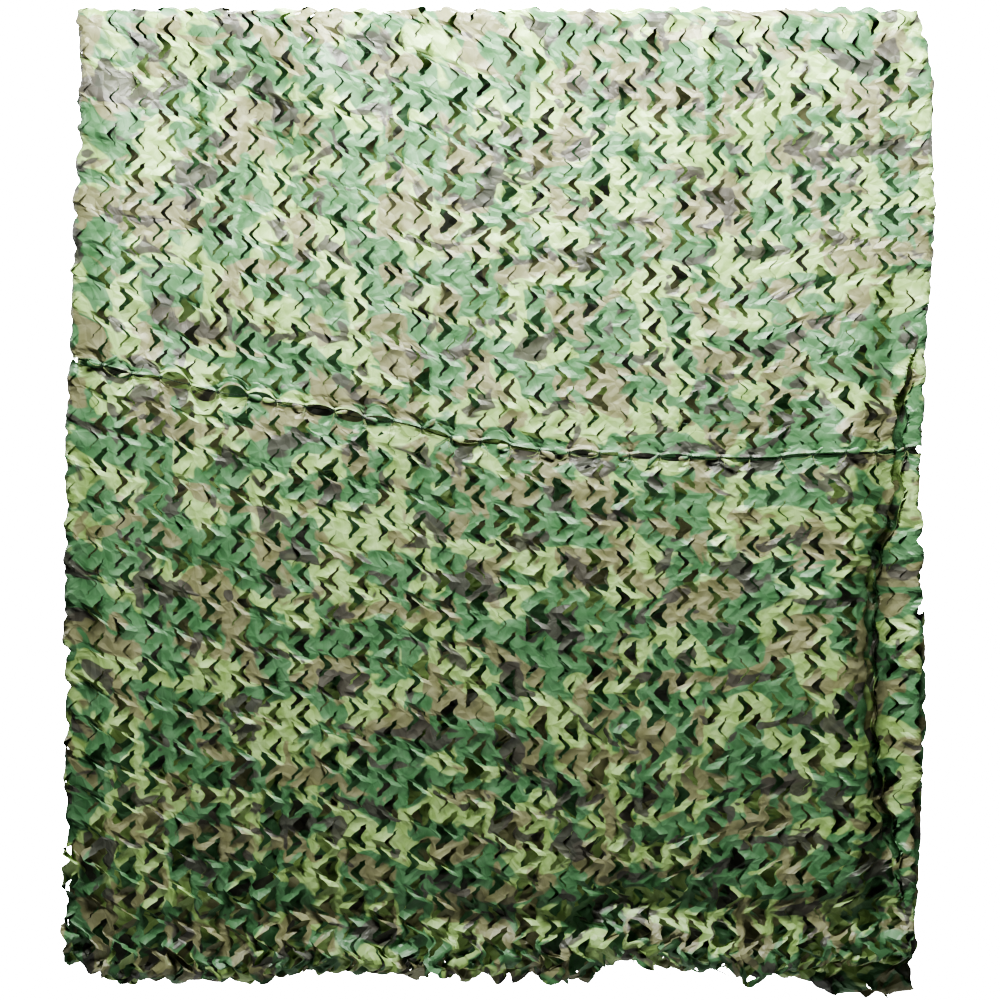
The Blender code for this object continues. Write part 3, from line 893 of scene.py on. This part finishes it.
def openness_at(path_at):
    """Openness, relief and looseness for each band and row."""
    share = (np.arange(BANDS) + 0.5)[:, None] / BANDS
    path = path_at(share, (rows / POINTS * HUNG_LENGTH / REPEATS)[None, :])
    bend = leg_end(foot_drop_at(share, path >= 0.0)) + HALF_FOLD / 2
    below = np.abs(path) - bend
    facing = eased((path - FACE_FROM) / FACE_FADE) * eased((bend + FADE - path) / FADE)
    at_foot = eased((below + LOOSE_UP) / FADE) * eased((LOOSE_ROUND - below) / FADE)
    at_top = np.exp(-(path / TOP_REACH) ** 2)
    closed, at_sides = closed_at(share, path)
    foot_open = at_foot * np.where(path < 0, BACK_OPEN, 1.0)
    openness = side_line(OPENING, 1, path) * np.maximum(facing * (1 - closed), foot_open)
    relief = np.maximum(openness, SHUT_RELIEF * (1 - closed))
    loose = np.maximum(LOOSE_AT_FOOT * at_foot, LOOSE_AT_TOP * at_top)
    return openness, relief, np.maximum(loose, LOOSE_AT_SIDES * at_sides)


print(f"openness down the front: {OPENING[:, 1].min()} to {OPENING[:, 1].max()}")

# %% [markdown]
# A knot in the lacing draws cloth in from both sides. Between two knots the edge bows away from
# the seam, and small folds fan out of each knot. Cloth could be pulled in by a simulation with
# pinned points, but a wave across and a fan of folds are quick, and stay where they are put.

# %% Gather the laced edges
KNOTS = BANDS // 2 + 1       # with one past the right edge, which isn't tied
KNOT_SPACING = 2 * HUNG_PITCH
KNOT_PLACE = 0.018           # of a knot, to the right of the middle of its slit curve
SCALLOP = 0.0042             # of the edge between two knots, as a mean
SCALLOP_RANGE = (-0.3, 2.2)  # least and most, as a share of it
SCALLOP_KNOTS = (0, 2, 5, 10, 16, 24)            # counted from the left
SCALLOP_SPREAD = (0.6, 2.2, 1.9, 1.0, 0.6, 0.8)  # and how much larger they are there
SCALLOP_SHAPE = 0.8          # below 1, for full arcs
GATHER = 0.30                # how much closer together the cloth lies at a knot
GATHER_REACH = 0.045         # from the edge in to where the cloth is even again
FAN_FOLDS = 4                # in a full turn round a knot
FAN_HEIGHT = 0.0038
FAN_REACH = 0.016
FAN_OFF = 0.002              # of their centre from the edge
DIMPLE = 0.003               # of the cloth right at a knot
DIMPLE_REACH = 0.008


def gathered(cloth, away, scallop, seed):
    """Draw a laced edge to its knots; away is each point's distance from that edge."""
    past_knot = cloth[..., 0] - KNOT_PLACE
    beside = (past_knot + KNOT_SPACING / 2) % KNOT_SPACING - KNOT_SPACING / 2
    fade = eased(1 - away / GATHER_REACH)
    sizes = np.random.default_rng(seed).uniform(*SCALLOP_RANGE, KNOTS + 2)
    sizes *= np.interp(np.arange(KNOTS + 2), SCALLOP_KNOTS, SCALLOP_SPREAD)
    arc = np.abs(np.sin(beside / KNOT_SPACING * math.pi)) ** SCALLOP_SHAPE
    bow = scallop * sizes[np.clip(past_knot // KNOT_SPACING + 1, 0, KNOTS + 1).astype(int)]
    bow = np.maximum(bow, 0.0) * arc * (past_knot > 0.0)
    draw = GATHER * KNOT_SPACING / (2 * math.pi) * np.sin(beside / KNOT_SPACING * 2 * math.pi)
    cloth[..., 0] -= draw * fade
    angle = np.arctan2(away + FAN_OFF, beside)
    reach = np.hypot(away, beside)
    fan = FAN_HEIGHT * np.cos(FAN_FOLDS * angle) * np.exp(-reach / FAN_REACH)
    cloth[..., 2] += fan - DIMPLE * np.exp(-reach / DIMPLE_REACH)
    return bow * fade


print(f"{KNOTS - 1} knots, {KNOT_SPACING * 1000:.0f} mm apart")

# %% [markdown]
# The net has three widths of cloth. The first runs from the front seam up, over the line and
# down the back, the second from the front seam down and round the foot, and the third from the
# back seam down and round its own foot. One wide sheet could stand for them all, but three real
# ones meet at real seams. Each has its own chance and its own part of the print, and replaces
# its solid.

# %% Hang the three widths
SEAM_GAP = 0.0014            # from the lacing to each edge of cloth in front
BACK_GAP = -0.0004           # and behind, where the edges are laced tight and lap
BACK_PITCH = 0.0230          # width of a band behind, where the net is pulled less
FIRST_EDGE, LAST_EDGE = 40, 50         # added to a width's seed for each laced edge


def width_of_cloth(name, node_name, seed, path_at, cut_pitch, print_shift, scallops):
    """One width, gathered to the knots of its first edge, and of its last one if laced."""
    cloth = opened(seed, *openness_at(path_at), cut_pitch)
    cloth[..., 1] += gathered(cloth, cloth[..., 1], scallops[0], seed + FIRST_EDGE)
    for scallop in scallops[1:]:
        from_last = HUNG_LENGTH - cloth[..., 1]
        cloth[..., 1] -= gathered(cloth, from_last, scallop, seed + LAST_EDGE)
    aside = cloth[..., 0] - share_of * BANDS * HUNG_PITCH
    path = path_at(share_of, cloth[..., 1])
    made = sheet_mesh(name, hang(share_of, path, cloth[..., 2], aside), print_shift)
    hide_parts(node_name)


def up_from_seam(share, away):
    return seam_path(share) - SEAM_GAP - away


def down_from_seam(share, away):
    return seam_path(share) + SEAM_GAP + away


def back_seam_path(share):
    return seam_path(share) - HUNG_LENGTH - SEAM_GAP


def down_behind(share, away):
    return back_seam_path(share) - BACK_GAP - away


width_of_cloth(
    "cloth_upper", "panel_upper", 11, up_from_seam, CUT_PITCH, (0.0, 0.0), (SCALLOP, 0.0)
)
width_of_cloth(
    "cloth_lower", "panel_lower", 12, down_from_seam, CUT_PITCH, (3.1, 1.3), (SCALLOP,)
)
width_of_cloth(
    "cloth_back", "panel_back", 13, down_behind, BACK_PITCH, (7.7, 4.1), (0.0,)
)

# %% [markdown]
# ## The lacing
# A cord runs along each seam and is knotted round both edges of cloth at every second band. It
# could be a curve with a round bevel, which is the usual way to a cord. A seam has more than a
# hundred short curves, so one helper sweeps a ring of points along each of them instead, and
# another joins them all in one mesh.

# %% Sweep a round cord along points
CORD_SIDES = 6
OFF_AXIS = (0.13, 0.91, 0.39)          # a direction that no cord here runs along


def swept(points, radius, sides=CORD_SIDES):
    """Vertices and faces of a tube along points."""
    points = np.asarray(points, float)
    along = np.gradient(points, axis=0)
    along /= np.linalg.norm(along, axis=1)[:, None]
    first = np.cross(along, OFF_AXIS)
    first /= np.linalg.norm(first, axis=1)[:, None]
    second = np.cross(along, first)
    angle = np.arange(sides) * 2 * math.pi / sides
    across, over = np.cos(angle)[None, :, None], np.sin(angle)[None, :, None]
    verts = points[:, None] + (first[:, None] * across + second[:, None] * over) * radius
    start = np.arange(len(points) - 1)[:, None] * sides
    side, after = np.arange(sides)[None, :], (np.arange(sides) + 1)[None, :] % sides
    ring = [start + side, start + after, start + sides + after, start + sides + side]
    return verts.reshape(-1, 3), np.stack(ring, -1).reshape(-1, 4)


def joined_mesh(name, pieces, material):
    """One mesh object from many (vertices, faces) pieces."""
    starts = np.cumsum([0] + [len(verts) for verts, _ in pieces])
    mesh = bpy.data.meshes.new(name)
    mesh.from_pydata(
        np.concatenate([verts for verts, _ in pieces]), [],
        np.concatenate([faces + start for (_, faces), start in zip(pieces, starts)]),
    )
    mesh.shade_smooth()
    mesh.materials.append(material)
    return placed(name, mesh)


# %% [markdown]
# The lacing is dark green cord of two twisted plies, and its ties end in paler thread. Twisted
# strands could be modelled, but at this thickness only their shade and their bumps show. One
# slanted wave gives the bump, painted shade in the grooves between the plies, and duller roughness
# there.

# %% Dye the cord, with painted shade in its grooves
CORD_GREEN = (0.018, 0.045, 0.020, 1.0)
CORD_PALE = (0.200, 0.250, 0.100, 1.0)
PLY_WAVE = {"Scale": 180.0, "Distortion": 1.5}
PLY_BUMP = {"Strength": 0.6, "Distance": 0.0006}
# painted shade: the share of the dye that is left in the grooves between two plies
PAINTED_GROOVE_SHADE = 0.6           # of the dye between two plies
PLY_ROUGHNESS = {"To Min": 0.8, "To Max": 0.6}


def cord_material(name, dye):
    """Two twisted plies: a wave across the cord gives their bump, painted shade in their grooves,
    and roughness.
    """
    made, tree, shader = new_material(name)
    place = node(tree, "ShaderNodeTexCoord").outputs["Object"]
    plies = node(tree, "ShaderNodeTexWave", PLY_WAVE, bands_direction="DIAGONAL")
    tree.links.new(place, plies.inputs["Vector"])
    bump = node(tree, "ShaderNodeBump", PLY_BUMP)
    tree.links.new(plies.outputs["Fac"], bump.inputs["Height"])
    tree.links.new(bump.outputs["Normal"], shader.inputs["Normal"])
    mix = node(tree, "ShaderNodeMix", data_type="RGBA")
    tree.links.new(plies.outputs["Fac"], mix.inputs[MIX_FACTOR])
    # painted shade: the dye darkened in the grooves between the plies, where shade falls
    shaded = tuple(PAINTED_GROOVE_SHADE * part for part in dye[:3]) + (1.0,)
    mix.inputs[MIX_UNDER].default_value = shaded
    mix.inputs[MIX_OVER].default_value = dye
    tree.links.new(mix.outputs[MIX_RESULT], shader.inputs["Base Color"])
    rough = node(tree, "ShaderNodeMapRange", PLY_ROUGHNESS)
    tree.links.new(plies.outputs["Fac"], rough.inputs["Value"])
    tree.links.new(rough.outputs["Result"], shader.inputs["Roughness"])
    return made


CORD = cord_material("lacing_cord", CORD_GREEN)
THREAD = cord_material("tie_thread", CORD_PALE)
print("cord materials:", CORD.name, THREAD.name)

# %% [markdown]
# At each knot the cord goes round both edges of cloth, is tied, and leaves two short ends that
# stick out as they please. A ball could stand for a knot at this size, but the loop and the ends
# catch the light and break the line of the seam. The tied part is a trefoil, the simplest curve
# that is really knotted.

# %% Shape one knot
CORD_RADIUS = 0.0007
KNOT_SIZE = 0.0012           # of the tied part
KNOT_THIN = 0.7              # share of the radius that its cord has
LOOP = (0.0050, 0.0045)      # of the cord round both edges: depth and height
LOOP_THIN = 0.8
LOOP_LEAN = 0.25             # spread of its slant
LOOP_POINTS, KNOT_POINTS = 17, 33
BEFORE_LOOP = 0.001          # from the loop to the tied part


def loop_of(turn, lean):
    return np.stack([
        lean * LOOP[1] * np.cos(turn), LOOP[0] * np.sin(turn), LOOP[1] * np.cos(turn)
    ], -1)


def trefoil(turn):
    return KNOT_SIZE * np.stack([
        np.sin(turn) + 2 * np.sin(2 * turn), -np.sin(3 * turn), np.cos(turn) - 2 * np.cos(2 * turn)
    ], -1)


def full_turn(count):
    return np.linspace(0.0, 2 * math.pi, count)


print("the tied part spans", np.ptp(trefoil(full_turn(KNOT_POINTS)), axis=0).round(4), "m")

# %% Shape its two free ends
TIE_RADIUS = 0.0006
TIE_SIDES = 5
END_POINTS = 7
END_LENGTHS = (0.010, 0.034)
END_HEADING = (-math.pi / 2, 0.7)      # mean and spread; straight down is the mean
END_BEND = (0.0, 1.0)
END_FORWARD = (0.25, 0.3)    # how far it leans to the front, at its root and more at its tip


def free_end(at, chance):
    """One thread end that leaves the knot in a curve of its own."""
    length = chance.uniform(*END_LENGTHS)
    heading = chance.normal(*END_HEADING)
    bend = chance.normal(*END_BEND)
    step = np.linspace(0.0, 1.0, END_POINTS)
    way = heading + bend * step
    steps = np.stack([np.cos(way), -END_FORWARD[0] - END_FORWARD[1] * step, np.sin(way)], -1)
    return swept(at + np.cumsum(steps, 0) * length / END_POINTS, TIE_RADIUS, TIE_SIDES)


print(f"free ends are about {END_LENGTHS[0]} to {END_LENGTHS[1]} m long")

# %% Lace both seams
CORD_STEPS = 8               # points of the cord from knot to knot
CORD_DEEP = (0.002, 0.006)   # how deep it lies in the seam: at a knot, and more between
CORD_SAG = 0.0015


def seam_points(path_at, share, aside, outward):
    return hang(share, path_at(share), outward, aside)


def knot_places(path_at):
    """The places of the knots; the last one would be past the right edge, and is left out."""
    return seam_points(path_at, np.arange(KNOTS) / (KNOTS - 1), KNOT_PLACE, 0.0)[:-1]


def laced(name, node_name, path_at, seed):
    """Cord, ties and free ends of one seam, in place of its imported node."""
    chance = np.random.default_rng(seed)
    inner = np.linspace(0.0, 1.0, (KNOTS - 1) * CORD_STEPS + 1)
    wave = np.sin(inner * (KNOTS - 1) * math.pi) ** 2
    main = seam_points(path_at, inner, KNOT_PLACE, -CORD_DEEP[0] - CORD_DEEP[1] * wave)
    main[:, 2] -= CORD_SAG * wave
    cords = [swept(main, CORD_RADIUS)]
    ties = []
    for place in knot_places(path_at):
        loop = loop_of(full_turn(LOOP_POINTS), chance.normal(0.0, LOOP_LEAN))
        cords.append(swept(place + loop, CORD_RADIUS * LOOP_THIN))
        at = place + np.array((0.0, -LOOP[0] - BEFORE_LOOP, 0.0))
        cords.append(swept(at + trefoil(full_turn(KNOT_POINTS)), CORD_RADIUS * KNOT_THIN))
        ties += [free_end(at, chance) for _ in range(2)]
    cord = joined_mesh(name, cords, CORD)
    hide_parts(node_name)
    joined_mesh(name + "_ends", ties, THREAD)
    length = np.linalg.norm(np.diff(main, axis=0), axis=1).sum()
    print(f"{name}: {length:.2f} m of cord")


laced("cord_front", "lacing_front", seam_path, 21)
laced("cord_back", "lacing_back", back_seam_path, 22)

# %% [markdown]
# Beside the knots the woven edge of the cloth stands out here and there in small leaves, like
# the halves of a bow. They could be left to the relief of the cloth, but then the seam looks
# like a drawn line. Each leaf is a strip folded along its middle, with a length, a width and a
# lean of its own.

# %% Fold one leaf
BOW_STEPS = 6
BOW_ROOT = 0.25              # width at its root, as a share of its full width
BOW_SWELL = 1.15             # above 1, so that it is widest before its end
BOW_TIP = (0.95, 0.55)       # place from which it tapers, and the share of width left
BOW_LEAN = 0.38
BOW_ARCH = (0.10, 2.6)       # of its middle to the front: share of its length, and radians
BOW_FOLD = (0.1, 0.8)        # slope of its lower half, least and most
BOW_UPPER = 0.4              # and of its upper one
BOW_DEEP = 0.25              # of its fold


def bow(root, heading, length, width, chance):
    """One leaf of woven edge, folded along its middle: points and faces."""
    step = np.linspace(0.0, 1.0, BOW_STEPS)
    swell = np.sin(np.clip(step * BOW_SWELL, 0, 1) * math.pi / 2)
    half = width * (BOW_ROOT + (1 - BOW_ROOT) * swell)
    half = half * np.where(step > BOW_TIP[0], BOW_TIP[1], 1.0)
    lean = chance.normal(0.0, BOW_LEAN)
    arch = -BOW_ARCH[0] * np.sin(step * BOW_ARCH[1])
    along = np.stack([heading * np.cos(lean) * step, arch, np.sin(lean) * step], -1) * length
    fold = chance.uniform(*BOW_FOLD) * half
    none = 0 * half
    upper_edge = root + along + np.stack([none, BOW_UPPER * half, half], -1)
    lower_edge = root + along + np.stack([none, fold, -half], -1)
    middle_line = root + along - np.stack([none, BOW_DEEP * half, none], -1)
    points = np.stack([upper_edge, middle_line, lower_edge], 1).reshape(-1, 3)
    at = np.arange(BOW_STEPS - 1)[:, None] * 3 + np.arange(2)[None, :]
    return points, np.stack([at, at + 1, at + 4, at + 3], -1).reshape(-1, 4)


print(f"a leaf has {2 * (BOW_STEPS - 1)} faces")

# %% Set the leaves beside the knots
BOW_LENGTH = 0.023
BOW_LENGTHS = (0.65, 1.1)    # least and most, as a share of it
BOW_WIDTH = 0.0050           # half of the full width
BOW_WIDTHS = (0.5, 1.25)
BOW_CHANCE = 0.5
BOW_ASIDE = 0.002            # of its root from the knot
BOW_OUT = 0.004              # and from the seam
BOW_RAISED = 0.0012          # spread up and down
PRINT_ROOM = 9.0             # of the print, from which each leaf takes its own place


def bows(name, path_at, seed, facing):
    """The leaves of one seam; facing is -1 to the front and 1 to the back."""
    chance = np.random.default_rng(seed)
    leaves = []
    places = knot_places(path_at)
    for number, place in enumerate(places):
        headings = [-1.0] * (number > 0) + [1.0] * (number < len(places) - 1)
        for heading in headings:
            if chance.random() > BOW_CHANCE:
                continue
            length = BOW_LENGTH * chance.uniform(*BOW_LENGTHS)
            width = BOW_WIDTH * chance.uniform(*BOW_WIDTHS)
            raised = chance.normal(0.0, BOW_RAISED)
            shift = np.array((BOW_ASIDE * heading, facing * BOW_OUT, raised))
            leaves.append(bow(place + shift, heading, length, width, chance))
    made = joined_mesh(name, leaves, CLOTH)
    shifted = [points + chance.uniform(0.0, PRINT_ROOM) for points, _ in leaves]
    add_print_map(made.data, np.concatenate(shifted)[:, (0, 2)])


bows("bows_front", seam_path, 31, -1.0)
bows("bows_back", back_seam_path, 32, 1.0)

# %% [markdown]
# ## Light
# The net is lit by a large soft panel in front of it and above, close to the top edge, so the
# top is pale and bright and the foot is darker and deeper in colour. One even light all round
# would be simpler, but it would wash the slits out. A second panel does the same for the back,
# and two weak ones stand behind at the sides, so that the rolled edges don't go black.

# %% Set the lights
PANEL_LIGHT = (1.4, 0.4)     # metres across and up
FRONT_PLACE = (0.06, -1.08, 0.90)
FRONT_POWER = 136.0          # watts
REAR_PLACE = (-0.06, 1.12, 0.90)
REAR_POWER = 100.0
PANEL_AIM = (0.06, 0.0, 0.0)
SIDE_LIGHT = (1.0, 1.6)
SIDE_PLACE = (2.4, 0.9, 0.2)
SIDE_POWER = 26.0
SIDE_AIM = (0.0, 0.0, -0.8)


def soft_panel(name, size, place, aim, power):
    panel = bpy.data.lights.new(name, "AREA")
    panel.shape = "RECTANGLE"
    panel.size, panel.size_y = size
    panel.energy = power
    made = bpy.data.objects.new(name, panel)
    made.location = place
    made.rotation_euler = (Vector(aim) - Vector(place)).to_track_quat("-Z", "Y").to_euler()
    made.visible_camera = False
    bpy.context.scene.collection.objects.link(made)
    print(f"{name}: {power:.0f} W")


soft_panel("panel_light", PANEL_LIGHT, FRONT_PLACE, PANEL_AIM, FRONT_POWER)
soft_panel("rear_light", PANEL_LIGHT, REAR_PLACE, PANEL_AIM, REAR_POWER)
for side_name, side in (("left_light", -1), ("right_light", 1)):
    side_place = (side * SIDE_PLACE[0],) + SIDE_PLACE[1:]
    soft_panel(side_name, SIDE_LIGHT, side_place, SIDE_AIM, SIDE_POWER)

# %% [markdown]
# ## Backdrop and floor
# The net hangs before plain white, well above a pale floor. A white wall would need light of
# its own and would throw some of it on the net. The world is plain white instead, strong only
# for what is seen straight past the net, and nearly dark as a light.

# %% Set the backdrop and the floor
WHITE = (1.0, 1.0, 1.0, 1.0)
WORLD_LIGHT, WORLD_SEEN = 0.012, 24.0
FLOOR_LEVEL = -2.8
FLOOR_RADIUS = 2.4
FLOOR_CORNERS = 96
FLOOR_GREY = (0.8, 0.8, 0.8, 1.0)

world = bpy.data.worlds.new("studio")
bpy.context.scene.world = world
world.use_nodes = True
sky = world.node_tree
glow = sky.nodes["Background"]
glow.inputs["Color"].default_value = WHITE
ray = node(sky, "ShaderNodeLightPath")
amount = node(sky, "ShaderNodeMapRange", {"To Min": WORLD_LIGHT, "To Max": WORLD_SEEN})
sky.links.new(ray.outputs["Is Camera Ray"], amount.inputs["Value"])
sky.links.new(amount.outputs["Result"], glow.inputs["Strength"])

bpy.ops.mesh.primitive_circle_add(
    vertices=FLOOR_CORNERS, radius=FLOOR_RADIUS, fill_type="NGON", location=(0.0, 0.0, FLOOR_LEVEL)
)
floor = bpy.context.object
floor.name = "floor"
pale, _, floor_shader = new_material("pale_floor")
floor_shader.inputs["Base Color"].default_value = FLOOR_GREY
floor.data.materials.append(pale)
bpy.context.scene.view_settings.view_transform = "AgX"
bpy.context.scene.view_settings.look = "AgX - High Contrast"
print(f"floor {FLOOR_LEVEL} m from the line")
